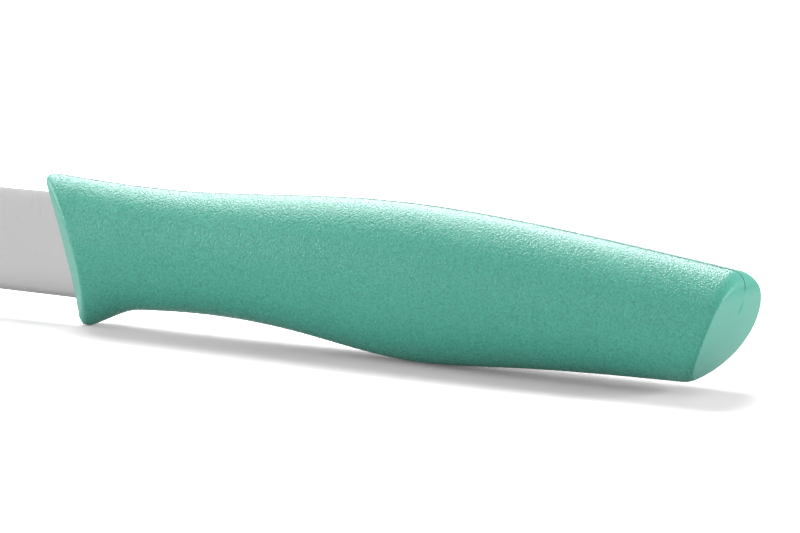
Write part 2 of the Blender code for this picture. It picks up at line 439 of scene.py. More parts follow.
@dataclass(frozen=True)
class HandleShape:
    """Sizes of the handle and the surfaces that bound it."""

    # The back from the nose to the butt: places along the knife and heights over the table
    length: float = 0.10095
    nose_height: float = 0.0207
    waist_at: float = 0.0155
    waist_height: float = 0.0198
    crown_at: float = 0.0455
    crown_height: float = 0.0211
    slope_at: float = 0.0755
    slope_height: float = 0.01925
    butt_height: float = 0.0161

    # The underside: the guard with its hook, the finger hollow, the sweep, the belly, the palm and the heel
    guard_base: float = 0.0021
    guard_drop: float = 0.00232
    guard_length: float = 0.0090
    guard_shoulder: float = 1.5
    guard_fade: int = 2
    finger_at: float = 0.0185
    finger_rise: float = 0.00325
    sweep_at: float = 0.0345
    sweep_rise: float = 0.00235
    belly_at: float = 0.0525
    belly_rise: float = 0.00012
    palm_at: float = 0.0665
    palm_rise: float = 0.00065
    heel_inset: float = 0.0063
    heel_rise: float = 0.00145

    # Half widths from the front to the butt, and how full the oval is: 2 is an ellipse
    front_half_width: float = 0.0056
    waist_half_width: float = 0.0057
    belly_half_width: float = 0.0075
    palm_half_width: float = 0.0078
    butt_half_width: float = 0.0073
    fullness: float = 1.95

    # The front: its lean, the sweep of its facets, the hollow of its land and the reach of its foot
    front_lean: float = 0.305
    front_sweep: float = 1.06
    front_hollow: float = 0.0003
    foot_reach: float = 0.0004
    foot_height: float = 0.0090
    land_half_width: float = 0.0012

    # The butt: where it peaks, and how round it is up and down, up to a share of its radius, and across
    butt_peak_height: float = 0.0150
    butt_profile_radius: float = 0.0165
    butt_profile_reach: float = 0.99
    butt_cross_radius: float = 0.034

    @cached_property
    def top_line(self) -> NaturalSpline:
        """Height of the handle's back along the knife."""
        return NaturalSpline((
            (-self.front_lean * self.nose_height, self.nose_height),
            (self.waist_at, self.waist_height),
            (self.crown_at, self.crown_height),
            (self.slope_at, self.slope_height),
            (self.length, self.butt_height),
        ))

    @cached_property
    def underside(self) -> NaturalSpline:
        """Height of the handle's underside along the knife, without the guard's hook."""
        return NaturalSpline((
            (0.0, self.guard_base),
            (self.finger_at, self.finger_rise),
            (self.sweep_at, self.sweep_rise),
            (self.belly_at, self.belly_rise),
            (self.palm_at, self.palm_rise),
            (self.length - self.heel_inset, self.heel_rise),
        ))

    @cached_property
    def half_width(self) -> NaturalSpline:
        """Half of the handle's width along the knife."""
        return NaturalSpline((
            (0.0, self.front_half_width),
            (self.waist_at, self.waist_half_width),
            (self.belly_at, self.belly_half_width),
            (self.slope_at, self.palm_half_width),
            (self.length, self.butt_half_width),
        ))

    def section(self, x: np.ndarray,
                angle: np.ndarray) -> tuple[np.ndarray, np.ndarray, np.ndarray, np.ndarray]:
        """Points of the handle's oval.

        Args:
            x: Places along the knife.
            angle: Angles round the oval.

        Returns:
            Y and Z of the points, and the oval's half width and half height there.
        """
        top = self.top_line(x)
        hook = (1 - np.clip(x / self.guard_length, 0, 1) ** self.guard_shoulder) ** self.guard_fade
        bottom = self.underside(x) - self.guard_drop * hook
        across, tall, power = self.half_width(x), (top - bottom) / 2, 2 / self.fullness
        y = across * signed_power(np.cos(angle), power)
        z = (top + bottom) / 2 + tall * signed_power(np.sin(angle), power)
        return y, z, across, tall

    def front_face(self, y: np.ndarray, z: np.ndarray) -> np.ndarray:
        """Front of the handle: a leaning, slightly hollow land between two facets that are swept back.

        Args:
            y: Places across the knife.
            z: Heights over the table.

        Returns:
            X of the front there.
        """
        hollow = self.front_hollow * (1 - (2 * z / self.nose_height - 1) ** 2)
        foot = self.foot_reach * np.maximum(0, 1 - z / self.foot_height) ** 2
        land = hollow - foot - self.front_lean * z
        return land + self.front_sweep * np.maximum(0, np.abs(y) - self.land_half_width)

    def butt_face(self, y: np.ndarray, z: np.ndarray) -> np.ndarray:
        """Butt of the handle, which is round in both directions.

        Args:
            y: Places across the knife.
            z: Heights over the table.

        Returns:
            X of the butt there.
        """
        radius = self.butt_profile_radius
        rise = np.minimum(np.abs(z - self.butt_peak_height), self.butt_profile_reach * radius)
        drop = radius - np.sqrt(radius ** 2 - rise ** 2)
        return self.length - drop - y ** 2 / (2 * self.butt_cross_radius)


@dataclass(frozen=True)
class Placement:
    """Where the shaped pieces go in the frame.

    Attributes:
        shift: What is added to a point that is measured from the foot of the handle's front.
    """

    shift: np.ndarray

    @classmethod
    def from_frame(cls, blade: BladeShape, handle: HandleShape) -> "Placement":
        """Reads the place from the frame's blade: its tip for X and its spine for Z.

        Args:
            blade: Sizes of the blade.
            handle: Sizes of the handle, whose front the blade meets.

        Returns:
            The placement.
        """
        low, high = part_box(Node.BLADE.value)
        tip = -handle.front_lean * blade.spine_height - blade.length
        return cls(np.array([low[0] - tip, 0.0, high[2] - blade.spine_height]))


# ---------------------------------------------------------------- making of meshes


def new_piece(name: str, mesh: bpy.types.Mesh) -> bpy.types.Object:
    """Links a mesh to the scene as an object at the origin.

    Args:
        name: The object's name.
        mesh: Its mesh, already in the frame's place.

    Returns:
        The object.
    """
    piece = bpy.data.objects.new(name, mesh)
    bpy.context.scene.collection.objects.link(piece)
    return piece


def mesh_from(name: str, points: np.ndarray, faces: Sequence[Sequence[int]] = (),
              edges: Sequence[Sequence[int]] = ()) -> bpy.types.Mesh:
    """Mesh from points with faces or edges.

    Args:
        name: The mesh's name.
        points: Its points.
        faces: Its faces, as indices of points.
        edges: Its edges, where it has no faces.

    Returns:
        The mesh.
    """
    mesh = bpy.data.meshes.new(name)
    mesh.from_pydata([tuple(map(float, point)) for point in points], list(edges), [tuple(f) for f in faces])
    mesh.validate()
    return mesh


def loft_faces(ring_count: int, ring_points: int) -> list[tuple[int, ...]]:
    """Faces between closed rings whose points follow each other.

    Args:
        ring_count: Number of rings.
        ring_points: Number of points on each ring.

    Returns:
        The faces, ring by ring, as indices of points.
    """
    faces = []
    for start in range(0, (ring_count - 1) * ring_points, ring_points):
        for j in range(ring_points):
            here, beside = start + j, start + (j + 1) % ring_points
            faces.append((here, beside, beside + ring_points, here + ring_points))
    return faces


def face_out(mesh: bpy.types.Mesh) -> None:
    """Merges doubled points of a closed mesh and turns its faces outwards.

    Args:
        mesh: The mesh that is changed.
    """
    bm = bmesh.new()
    bm.from_mesh(mesh)
    bmesh.ops.remove_doubles(bm, verts=bm.verts, dist=MERGE_DISTANCE)
    bmesh.ops.dissolve_degenerate(bm, dist=SHORTEST_EDGE, edges=bm.edges)
    bmesh.ops.recalc_face_normals(bm, faces=bm.faces)
    bm.to_mesh(mesh)
    bm.free()


def shade(mesh: bpy.types.Mesh, sharp_degrees: float) -> None:
    """Shades a mesh smooth but for its real edges.

    Args:
        mesh: The mesh that is changed.
        sharp_degrees: The least angle of a real edge.
    """
    mesh.shade_smooth()
    mesh.set_sharp_from_angle(angle=math.radians(sharp_degrees))


def freeze(source: bpy.types.Object, name: str) -> bpy.types.Object:
    """Turns what an object's modifiers make into a plain mesh without empty slots, and removes the object.

    Args:
        source: The object with its modifiers.
        name: Name of the piece that is made.

    Returns:
        The plain piece, at the origin.
    """
    bpy.context.view_layer.update()
    evaluated = source.evaluated_get(bpy.context.evaluated_depsgraph_get())
    mesh = bpy.data.meshes.new_from_object(evaluated)
    source.modifiers.clear()
    bpy.data.objects.remove(source, do_unlink=True)
    for place in reversed([i for i, material in enumerate(mesh.materials) if material is None]):
        mesh.materials.pop(index=place)
    mesh.name = name
    return new_piece(name, mesh)


def run_tree(host: bpy.types.Object, tree: bpy.types.NodeTree, values: dict[str, object]) -> None:
    """Gives an object a Geometry Nodes modifier and sets its inputs by their identifiers.

    Args:
        host: The object that carries the modifier.
        tree: The node tree.
        values: Values of the tree's inputs by name.
    """
    modifier = host.modifiers.new(tree.name, "NODES")
    modifier.node_group = tree
    for item in tree.interface.items_tree:
        if item.item_type == "SOCKET" and item.in_out == "INPUT" and item.name in values:
            modifier[item.identifier] = values[item.name]


def settle(piece: bpy.types.Object, slot: Slot, *nodes: Node) -> bpy.types.Object:
    """Puts a finished piece on the knife's body, hides the frame's nodes that it stands for and logs its
    size.

    Args:
        piece: The piece.
        slot: Its material slot in the record; not used.
        nodes: The frame's nodes that it replaces.

    Returns:
        The piece.
    """
    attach(piece, BODY)
    if nodes:
        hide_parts(*(node.value for node in nodes))
    LOG.info("%s: %d points, %d faces", piece.name, len(piece.data.vertices), len(piece.data.polygons))
    return piece


# ---------------------------------------------------------------- shared effects


class Effects:
    """Shader node groups for the finishes, each built once."""

    # Rise of the pebbles and of the finer grain on them, what bends the pebbles, and the grinding's slant
    PEBBLE_RISE: float = 0.70
    FINE_RISE: float = 0.42
    WARP: float = 0.8
    LINE_SLANT: float = 0.12

    _made: dict[str, bpy.types.NodeTree] = {}

    @classmethod
    def get(cls, fill: Callable[[TreeBuilder], None]) -> bpy.types.NodeTree:
        """A group, built when it is first asked for and named after the function that fills it.

        Args:
            fill: What fills the new group.

        Returns:
            The group.
        """
        name = fill.__name__
        if name not in cls._made:
            builder = TreeBuilder.group(name, TreeKind.SHADER)
            fill(builder)
            cls._made[name] = builder.tree
        return cls._made[name]

    @staticmethod
    def eroded_grain(b: TreeBuilder) -> None:
        """Pebbled grain of a spark-eroded mould, as a height from about 0 to 1.

        Args:
            b: Builder of the new group.
        """
        size = b.takes("Grain size", SocketKind.VALUE, 0.0005)
        soft = b.takes("Softness", SocketKind.VALUE, 0.6)
        grains = b.scaled(b.own_place(), 1.0 / size)
        warp = b.add("ShaderNodeTexNoise", {"Vector": grains, "Scale": 0.7, "Detail": 1.0})
        bent = b.add("ShaderNodeVectorMath", operation="MULTIPLY_ADD")
        b.tree.links.new(warp.outputs["Color"], bent.inputs[0])
        bent.inputs[1].default_value = (Effects.WARP,) * 3
        b.tree.links.new(grains, bent.inputs[2])
        pebbles = b.add("ShaderNodeTexVoronoi", {"Vector": bent.outputs[0], "Scale": 1.0, "Smoothness": soft},
                        feature="SMOOTH_F1")
        tops = (1.0 - b.number(pebbles, "Distance")) * Effects.PEBBLE_RISE
        b.gives("Height", SocketKind.VALUE, tops + b.noise(grains, 2.1, 1.0) * Effects.FINE_RISE)

    @staticmethod
    def handling(b: TreeBuilder) -> None:
        """Slow change of tone and gloss over a surface, from moulding or grinding and from handling.

        Args:
            b: Builder of the new group.
        """
        patch = b.takes("Patch size", SocketKind.VALUE, 0.012)
        amount = b.takes("Amount", SocketKind.VALUE, 0.05)
        place = b.scaled(b.own_place(), 1.0 / patch)
        drift = (b.noise(place, 1.0, 3.0) - 0.5) * 2.0
        speck = (b.noise(place, 7.0, 2.0) - 0.5) * 2.0
        b.gives("Tone", SocketKind.VALUE, 1.0 + (drift * 0.7 + speck * 0.3) * amount)
        b.gives("Gloss", SocketKind.VALUE, (drift * 0.4 + speck * 0.6) * amount)

    @staticmethod
    def grinding_lines(b: TreeBuilder) -> None:
        """Fine parallel lines that a grinding belt leaves across the blade, as a height from 0 to 1.

        Args:
            b: Builder of the new group.
        """
        spacing = b.takes("Line spacing", SocketKind.VALUE, 0.00012)
        run = b.takes("Line length", SocketKind.VALUE, 0.006)
        x, y, z = b.split(b.own_place())
        lines = b.join(x / spacing, y / spacing, (z + x * Effects.LINE_SLANT) / run)
        coarse, fine = b.noise(lines, 1.0, 3.0, 0.7), b.noise(lines, 3.3, 2.0, 0.6)
        b.gives("Height", SocketKind.VALUE, coarse * 0.65 + fine * 0.35)


# ---------------------------------------------------------------- finishes


def start_material(name: str, colour: Colour) -> tuple[bpy.types.Material, TreeBuilder, bpy.types.Node]:
    """A new material with its Principled BSDF.

    Args:
        name: The material's name.
        colour: Its plain colour in the viewport.

    Returns:
        The material, a builder of its tree, and its Principled BSDF.
    """
    material = bpy.data.materials.new(name)
    material.use_nodes = True
    material.diffuse_color = (*colour, 1.0)
    tree = material.node_tree
    return material, TreeBuilder(tree), tree.nodes["Principled BSDF"]


def dress(b: TreeBuilder, shader: bpy.types.Node, colour: bpy.types.NodeSocket, roughness: Field,
          relief: Field) -> None:
    """Gives a shader what varies over the surface.

    Args:
        b: Builder of the material's tree.
        shader: The Principled BSDF.
        colour: Colour of the surface.
        roughness: Its roughness.
        relief: Height of its relief.
    """
    bump = b.add("ShaderNodeBump", {"Strength": 1.0, "Distance": 1.0, "Height": relief})
    b.feed(shader, {"Base Color": colour, "Roughness": roughness, "Normal": bump.outputs["Normal"]})


@dataclass(frozen=True)
class MouldedPlastic:
    """Polypropylene as it leaves the mould: grained where the mould is eroded, smooth where it is polished.

    The "grain" attribute is 1 where the mould is eroded, and another is 1 for a painted sheen where it is
    polished.

    Attributes:
        name: The material's name.
        colour: Colour of the plastic.
        painted_sheen_colour: A paler colour, painted in as sheen where the mould is polished.
        thrown_colour: What it throws on the table, which is greyer than the plastic itself.
        roughness: Roughness of the grained skin, besides what the grain's own relief adds.
        smooth_roughness: Roughness of the skin without grain.
        grain_size: Size of a pebble of the grain.
        grain_depth: Depth of the grain.
        smooth_depth: Depth of what is left of it on the smooth skin.
        grain_middle: Middle of the grain's height, where the colour is unchanged.
        pit_painted_shade: How much darker the grain's pits are painted than its tops: painted shade in the
            pits.
        smooth_painted_shade: The same painted shade on the smooth skin.
        patch_size: Size of a patch of slightly different tone and gloss.
        wear: How much tone and gloss differ.
        ior: Index of refraction.
        specular: Strength of its reflection.
    """

    name: str = "grained_polypropylene"
    colour: Colour = (0.093, 0.510, 0.388)
    painted_sheen_colour: Colour = (0.180, 0.550, 0.445)
    thrown_colour: Colour = (0.38, 0.38, 0.38)
    roughness: float = 0.27
    smooth_roughness: float = 0.48
    grain_size: float = 0.00028
    grain_depth: float = 0.000085
    smooth_depth: float = 0.000022
    grain_middle: float = 0.57
    pit_painted_shade: float = 0.68
    smooth_painted_shade: float = 0.16
    patch_size: float = 0.010
    wear: float = 0.045
    ior: float = 1.49
    specular: float = 0.6

    def build(self) -> bpy.types.Material:
        """Makes the material.

        Returns:
            The material.
        """
        material, b, shader = start_material(self.name, self.colour)
        mask, polish = (b.number(b.add("ShaderNodeAttribute", attribute_name=name), "Fac")
                        for name in ("grain", "polish"))
        thrown = b.number(b.add("ShaderNodeLightPath"), "Is Diffuse Ray")
        grain = b.add("ShaderNodeGroup", {"Grain size": self.grain_size},
                      node_tree=Effects.get(Effects.eroded_grain))
        use = b.add("ShaderNodeGroup", {"Patch size": self.patch_size, "Amount": self.wear},
                    node_tree=Effects.get(Effects.handling))
        height = b.number(grain, "Height")
        # The grain's pits are painted darker than its tops, less so on the smooth skin: painted shade in the
        # pits.
        painted_pit_shade = 1.0 + (height - self.grain_middle) * mask.choose(self.pit_painted_shade, self.smooth_painted_shade)
        # Where the mould is polished a paler colour is mixed in: painted sheen.
        skin = b.mixed(polish, self.colour, self.painted_sheen_colour)
        shaded = b.scaled(skin, b.number(use, "Tone") * painted_pit_shade)
        roughness = mask.choose(self.roughness, self.smooth_roughness) + b.number(use, "Gloss")
        depth = mask.choose(self.grain_depth, self.smooth_depth)
        dress(b, shader, b.mixed(thrown, shaded, self.thrown_colour), roughness, height * depth)
        b.feed(shader, {"IOR": self.ior, "Specular IOR Level": self.specular})
        return material


@dataclass(frozen=True)
class GroundSteel:
    """Stainless steel with the lines of its grinding across it.

    Attributes:
        name: The material's name.
        colour: Colour of the steel.
        roughness: Its middle roughness.
        line_spacing: Distance between grinding lines.
        line_length: Length of a line.
        line_depth: Depth of a line.
        line_painted_shade: How much darker a line's bottom is painted than its top: painted shade in the
            grooves.
        line_gloss: How much glossier it is.
        patch_size: Size of a patch of slightly different tone and gloss.
        wear: How much tone and gloss differ.
    """

    name: str
    colour: Colour = (0.82, 0.82, 0.825)
    roughness: float = 0.30
    line_spacing: float = 0.00011
    line_length: float = 0.007
    line_depth: float = 0.0000012
    line_painted_shade: float = 0.05
    line_gloss: float = 0.16
    patch_size: float = 0.020
    wear: float = 0.035

    def build(self) -> bpy.types.Material:
        """Makes the material.

        Returns:
            The material.
        """
        material, b, shader = start_material(self.name, self.colour)
        lines = b.add("ShaderNodeGroup", {"Line spacing": self.line_spacing, "Line length": self.line_length},
                      node_tree=Effects.get(Effects.grinding_lines))
        use = b.add("ShaderNodeGroup", {"Patch size": self.patch_size, "Amount": self.wear},
                    node_tree=Effects.get(Effects.handling))
        height = b.number(lines, "Height")
        # The bottoms of the grinding lines are painted darker: painted shade in the grooves.
        tone = b.number(use, "Tone") * (1.0 + (height - 0.5) * self.line_painted_shade)
        roughness = self.roughness + (height - 0.5) * self.line_gloss + b.number(use, "Gloss")
        dress(b, shader, b.scaled(self.colour, tone), roughness, height * self.line_depth)
        b.feed(shader, {"Metallic": 1.0})
        return material


GRAINED_PLASTIC = MouldedPlastic()
# The parting ridge's plastic is painted much darker than the handle's: painted shade that draws the ridge as
# a dark line.
SHADED_SEAM_PLASTIC = MouldedPlastic("parting_line_polypropylene", colour=(0.040, 0.105, 0.088), specular=0.25)
SATIN_STEEL = GroundSteel("satin_steel")
# Honed bevels: finer lines and less roughness, and a colour paler than the satin steel's that is painted
# light on the edge.
HONED_STEEL_PAINTED_LIGHTER = GroundSteel("honed_steel", colour=(0.92, 0.92, 0.925), roughness=0.2, line_spacing=0.00006,
                          line_length=0.0008, line_depth=0.0000006)


# ---------------------------------------------------------------- the blade


@dataclass
class Blade:
    """The ground blade, from its tip to a little way inside the handle.

    Attributes:
        shape: Its sizes.
        handle: Sizes of the handle, whose front it meets.
        placement: Its place in the frame.
        stations: Number of cross sections along it.
        tip_crowding: How much closer together they are near the tip.
        bevel_rings: Rows of points on each cutting bevel.
        grind_rings: Rows on each grind.
        flat_rings: Rows on each flat side.
        spine_rings: Rows on each rounded edge of the spine.
        spine_round: Size of that rounding.
        entry_depth: How far the blade goes on inside the handle.
        bevel_limit: The most that a bevel takes of the blade's height near the tip.
        grind_limit: The same for the bevel and the grind.
        spine_limit: The same for the spine's rounding.
        sharp_degrees: The least angle of an edge that is shaded sharp.
    """

    shape: BladeShape
    handle: HandleShape
    placement: Placement
    stations: int = 150
    tip_crowding: float = 1.5
    bevel_rings: int = 2
    grind_rings: int = 8
    flat_rings: int = 8
    spine_rings: int = 4
    spine_round: float = 0.00012
    entry_depth: float = 0.0025
    bevel_limit: float = 0.2
    grind_limit: float = 0.6
    spine_limit: float = 0.1
    sharp_degrees: float = 12.0

    def build_tree(self) -> bpy.types.NodeTree:
        """Geometry nodes that shape a grid into the blade by the rule of its outline and its grinding.

        Returns:
            The tree.
        """
        s = self.shape
        b = TreeBuilder.group("ground_blade", TreeKind.GEOMETRY)
        b.takes("Geometry", SocketKind.GEOMETRY)
        stations = b.takes("Stations", SocketKind.COUNT, self.stations)
        sizes = {
            "Length": s.length, "Height": s.height, "Thickness": s.thickness,
            "Edge rise": s.edge_rise, "Tip rise": s.tip_rise,
            "Grind height": s.grind_height, "Grind half thickness": s.grind_half,
            "Bevel height": s.bevel_height, "Bevel half thickness": s.bevel_half,
            "Spine round": self.spine_round, "Front lean": self.handle.front_lean,
        }
        (length, height, thickness, edge_rise, tip_rise, grind_height, grind_half, bevel_height, bevel_half,
         spine_round, lean) = (b.takes(name, SocketKind.VALUE, size) for name, size in sizes.items())
        satin, honed = (b.takes(name, SocketKind.MATERIAL) for name in ("Satin steel", "Honed steel"))

        # A ring runs from the edge up the left side to the spine, down the right side and over the edge again
        rings = self.bevel_rings + self.grind_rings + self.flat_rings + self.spine_rings
        grid = b.add("GeometryNodeMeshGrid", {"Size X": 1.0, "Size Y": 1.0, "Vertices X": stations + 4.0,
                                              "Vertices Y": 2 * rings + 3})
        across, along, _ = b.split(b.add("GeometryNodeInputPosition").outputs[0])
        station = ((across + 0.5) * (stations + 3.0)).rounded()
        place = ((along + 0.5) * float(2 * rings + 2)).rounded()
        place = place * place.below(2 * rings + 1.5)
        right = 1.0 - place.below(rings + 0.5)
        ring = right.choose(float(2 * rings + 1) - place, place)
        side = right * 2.0 - 1.0

        # Outline: the share of the length from the tip decides how far the spine falls and the edge lifts
        share = ((station - 1.0) / stations).clamped() ** self.tip_crowding
        spine_run, edge_run = s.spine_curve_length, s.edge_curve_length
        before_tip = (1.0 - share) * length - length
        fall = ((before_tip + spine_run) / spine_run).at_least(0.0) ** s.spine_curve_power
        lift = ((before_tip + edge_run) / edge_run).at_least(0.0) ** s.edge_curve_power
        spine_height = edge_rise + height
        spine = spine_height - fall * (height - tip_rise - s.tip_land / 2)
        edge = edge_rise + (1.0 - share) * s.edge_taper + lift * (tip_rise - (s.edge_taper + s.tip_land / 2))
        tall = spine - edge

        # Grinding: cutting bevel, rounded grind and flat, lower where the blade itself is lower
        bevel_share = (ring / float(self.bevel_rings)).clamped()
        grind_share = ((ring - float(self.bevel_rings)) / float(self.grind_rings)).clamped()
        flat_share = ((ring - float(self.bevel_rings + self.grind_rings)) / float(self.flat_rings)).clamped()
        turn = ((ring - float(rings - self.spine_rings)) / float(self.spine_rings)).clamped() * (math.pi / 2)
        bevel_top = bevel_height.at_most(tall * self.bevel_limit)
        grind_top = grind_height.at_most(tall * self.grind_limit)
        rounding = spine_round.at_most(tall * self.spine_limit)
        rise = bevel_share * bevel_top + grind_share * (grind_top - bevel_top)
        rise = rise + flat_share * (tall - grind_top - rounding) + turn.sine() * rounding
        z = edge + rise
        flat_slope = (thickness * 0.5 - grind_half) / (height - grind_height)
        flat = grind_half + flat_slope * (z - edge_rise - grind_height)
        thinning = grind_half - flat_slope * (grind_height - bevel_height) - bevel_half
        round_off = ((grind_height - rise) / (grind_height - bevel_height)).clamped() ** 2.0
        honed_half = (bevel_half - s.edge_half) * (rise / bevel_height).clamped() + s.edge_half
        half = ring.below(self.bevel_rings + 0.5).choose(honed_half, flat - thinning * round_off)
        half = half - rounding * (1.0 - turn.cosine())

        # The last stations run straight into the handle, and the first and the last row close the ends
        tip = lean * spine_height * -1.0 - length
        root = z * lean * -1.0 - s.front_gap
        inside = (station - stations - 1.0).clamped() * (self.entry_depth + s.front_gap)
        x = tip + share * (root - tip) + inside
        closed = station.below(0.5) + (1.0 - station.below(stations + 2.5))
        middle = edge + tall * 0.5
        open_rows = 1.0 - closed
        point = b.join(x + self.placement.shift[0],
                       side * half * open_rows,
                       z * open_rows + middle * closed + self.placement.shift[2])
        marked = b.add("GeometryNodeStoreNamedAttribute", {"Geometry": grid.outputs["Mesh"], "Name": "ring",
                                                           "Value": ring}, data_type="FLOAT", domain="POINT")
        shaped = b.add("GeometryNodeSetPosition", {"Geometry": marked.outputs[0], "Position": point})
        welded = b.add("GeometryNodeMergeByDistance", {"Geometry": shaped.outputs[0],
                                                       "Distance": MERGE_DISTANCE})
        real = b.add("GeometryNodeRealizeInstances", {"Geometry": welded.outputs[0]})
        kept = b.add("GeometryNodeInputNamedAttribute", {"Name": "ring"}, data_type="FLOAT")
        on_bevel = b.number(kept, "Attribute").below(float(self.bevel_rings))
        sides = b.add("GeometryNodeSetMaterial", {"Geometry": real.outputs[0], "Material": satin})
        bevels = b.add("GeometryNodeSetMaterial", {"Geometry": sides.outputs[0], "Selection": on_bevel,
                                                   "Material": honed})
        b.gives("Geometry", SocketKind.GEOMETRY, bevels.outputs[0])
        return b.tree

    def build(self, satin: bpy.types.Material, honed: bpy.types.Material) -> bpy.types.Object:
        """Makes the blade.

        Args:
            satin: Finish of its ground sides and spine.
            honed: Finish of its cutting bevels.

        Returns:
            The blade.
        """
        host = new_piece("blade_rule", mesh_from("blade_rule", np.zeros((1, 3))))
        run_tree(host, self.build_tree(), {"Satin steel": satin, "Honed steel": honed})
        piece = freeze(host, "ground_blade")
        face_out(piece.data)
        shade(piece.data, self.sharp_degrees)
        return settle(piece, Slot.STEEL, Node.BLADE)


# ---------------------------------------------------------------- the handle


@dataclass
class Handle:
    """The moulded handle: its skin, the ridge where the mould's halves met and the mark of its gate."""

    shape: HandleShape
    placement: Placement

    # The loft: points round a ring, rings along the side, and passes that settle a ring between the ends
    ring_points: int = 176
    side_rings: int = 190
    ring_crowding: float = 1.3
    side_passes: int = 60

    # Rounding of the end edges along the side, and the share of it that is taken of the end's face
    round_steps: int = 7
    front_edge_round: float = 0.0003
    nose_round: float = 0.0013
    guard_round: float = 0.0012
    butt_edge_round: float = 0.0014
    butt_top_round: float = 0.0018
    heel_round: float = 0.0010
    butt_inset_share: float = 0.16
    butt_top_inset_share: float = 1.1
    heel_inset_share: float = 0.8
    end_focus: int = 4

    # How fast the grain and the painted sheen fade, the columns of points on the ends, and the skin's least
    # sharp edge
    grain_fade_rate: int = 3
    painted_sheen_fade: float = 0.0013
    land_columns: int = 7
    butt_columns: int = 60
    skin_sharp_degrees: float = 30.0

    # The parting ridge: its middle is sunk into the skin, and the whole of it where it starts and ends
    ridge_radius: float = 0.00009
    ridge_sink: float = 0.00004
    ridge_end: float = 0.0130
    ridge_butt_points: int = 16
    ridge_rise_points: int = 4
    ridge_sides: int = 8
    ridge_spacing: float = 0.0006
    ridge_sharp_degrees: float = 80.0

    # The gate mark: a sliver that leans, whose profile is pairs of spread and lift
    gate_height: float = 0.0119
    gate_length: float = 0.0019
    gate_width: float = 0.00062
    gate_depth: float = 0.00012
    gate_lean: float = 0.42
    gate_points: int = 32
    gate_bluntness: float = 0.6
    gate_profile: tuple[tuple[float, float], ...] = (
        (1.0, -1.0), (1.0, 0.0), (0.85, 0.28), (0.7, 0.51), (0.5, 0.75), (0.3, 0.91), (0.05, 1.0))
    gate_sharp_degrees: float = 50.0

    # The skin's rings, from the front to the butt, kept for the ridge that follows them
    rings: list[np.ndarray] = field(default_factory=list)

    @property
    def angles(self) -> np.ndarray:
        """Angles round the oval, from its top."""
        return math.pi / 2 + 2 * math.pi * np.arange(self.ring_points) / self.ring_points

    def side_ring(self, angle: np.ndarray, share: float, front: np.ndarray, butt: np.ndarray) -> np.ndarray:
        """Ring of points on the handle's side.

        Args:
            angle: Angles round the oval.
            share: Share of the way from the front edge to the butt edge.
            front: How far the side stops short of the front at each angle.
            butt: The same for the butt.

        Returns:
            The points.
        """
        s = self.shape
        x = np.full_like(angle, share * s.length)
        for _ in range(self.side_passes):
            y, z, _, _ = s.section(x, angle)
            start, end = s.front_face(y, z) + front, s.butt_face(y, z) - butt
            x = (x + start + share * (end - start)) / 2
        return np.stack([x, *s.section(x, angle)[:2]], axis=1)

    def rounded_edge(self, angle: np.ndarray, share: float,
                     face: Callable[[np.ndarray, np.ndarray], np.ndarray],
                     rounds: np.ndarray, inset: np.ndarray) -> list[np.ndarray]:
        """Rings that round the edge between the side and an end face.

        Args:
            angle: Angles round the oval.
            share: 0 at the front and 1 at the butt.
            face: X of the end face.
            rounds: Size of the rounding along the side at each angle.
            inset: Share of it that the rounding takes of the face at each angle.

        Returns:
            The rings, from the side to the face.
        """
        none = np.zeros_like(angle)
        corner = self.side_ring(angle, share, none, none)
        side = self.side_ring(angle, share, rounds, rounds)
        _, _, across, tall = self.shape.section(corner[:, 0], angle)
        inward = -np.stack([np.cos(angle) / across, np.sin(angle) / tall], axis=1)
        inward /= np.linalg.norm(inward, axis=1, keepdims=True)
        y, z = (corner[:, 1:] + (inset * rounds)[:, None] * inward).T
        on_face = np.stack([face(y, z), y, z], axis=1)
        steps = np.linspace(0, 1, self.round_steps + 1)
        return [(1 - t) ** 2 * side + 2 * t * (1 - t) * corner + t ** 2 * on_face for t in steps]

    def edge_values(self, side: float, top: float, bottom: float) -> np.ndarray:
        """A value round an end's edge that changes towards the top and the bottom.

        Args:
            side: The value at the sides.
            top: The value at the top.
            bottom: The value at the bottom.

        Returns:
            The value at each angle.
        """
        upper = np.clip(np.sin(self.angles), 0, 1) ** self.end_focus
        lower = np.clip(-np.sin(self.angles), 0, 1) ** self.end_focus
        return side + (top - side) * upper + (bottom - side) * lower

    def cap(self, points: list[np.ndarray], faces: list[tuple[int, ...]], first: int,
            face: Callable[[np.ndarray, np.ndarray], np.ndarray],
            spread: Callable[[float], Iterable[float]]) -> None:
        """Closes a ring with rows across Y whose inner points lie on the end face.

        Args:
            points: All points so far, to which the inner ones are added.
            faces: All faces so far, to which the end's are added.
            first: Index of the ring's first point, at its top.
            face: X of the end face.
            spread: Y of the inner points of a row from its half width, from one side to the other.
        """
        half = self.ring_points // 2
        rows = []
        for i in range(1, half):
            left, right = first + i, first + self.ring_points - i
            reach, z = abs(points[left][1]), points[left][2]
            inner = []
            for y in spread(reach):
                y = math.copysign(1.0, points[left][1]) * y
                inner.append(len(points))
                points.append(np.array([face(np.array(y), np.array(z)), y, z]))
            rows.append([left, *inner, right])
        for upper, lower in zip(rows, rows[1:]):
            faces.extend((upper[k], upper[k + 1], lower[k + 1], lower[k]) for k in range(len(upper) - 1))
        for pole, row in ((first, rows[0]), (first + half, rows[-1])):
            faces.extend((pole, row[k], row[k + 1]) for k in range(len(row) - 1))

    def land_spread(self, reach: float) -> list[float]:
        """Rows of the front: points on each facet, and both edges of the land.

        Args:
            reach: Half width of the row.

        Returns:
            Y of the row's inner points.
        """
        land = min(self.shape.land_half_width, reach / 2)
        facet = np.linspace(reach, land, self.land_columns + 2)[1:]
        return [*facet, *(-facet[::-1])]

    def butt_spread(self, reach: float) -> list[float]:
        """Rows of the butt: evenly spread points."""
        return list(np.linspace(reach, -reach, self.butt_columns + 1)[1:-1])

